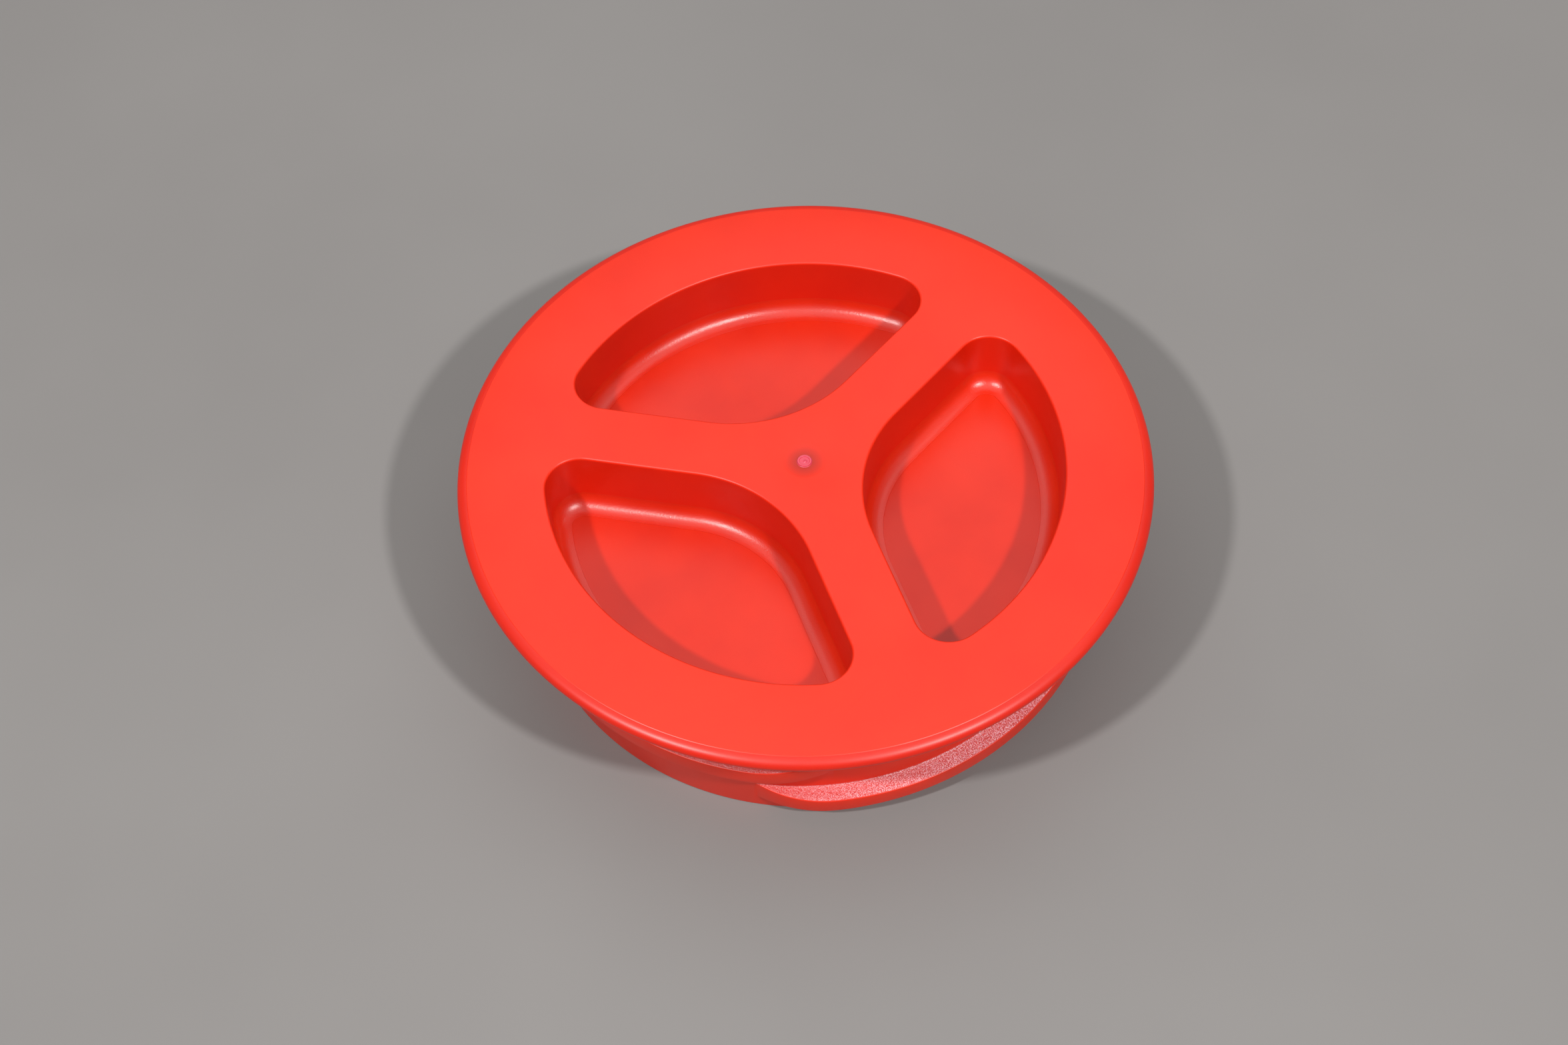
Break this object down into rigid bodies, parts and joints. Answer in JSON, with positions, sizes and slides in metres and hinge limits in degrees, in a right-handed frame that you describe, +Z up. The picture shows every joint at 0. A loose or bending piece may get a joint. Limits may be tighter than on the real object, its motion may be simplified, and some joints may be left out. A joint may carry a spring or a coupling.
{
  "type": "screw-in closure plug",
  "caption": "Round screw-in closure plug: wide flange, finger wells around a Y-shaped grip, coarse male thread on a hollow skirt, face seal under the flange.",
  "frame": {"origin": "centre of the skirt's lower rim, on the plug's axis", "axes": "+Z up the axis through the flange, +Y along one arm of the Y-shaped grip"},
  "size_m": [0.15, 0.15, 0.041],
  "materials": {
    "plug_plastic": "smooth satin as moulded, fine grain on the thread's upper flank",
    "seal_rubber": "matt"
  },
  "bodies": {
    "plug": {"plug_moulding": "plug_plastic"},
    "seal": {"face_seal": "seal_rubber"}
  },
  "joints": [
    {"name": "seal_turn", "type": "hinge", "parent": "plug", "child": "seal", "pos_m": [0, 0, 0.03605], "axis": [0, 0, 1], "continuous": true}
  ]
}
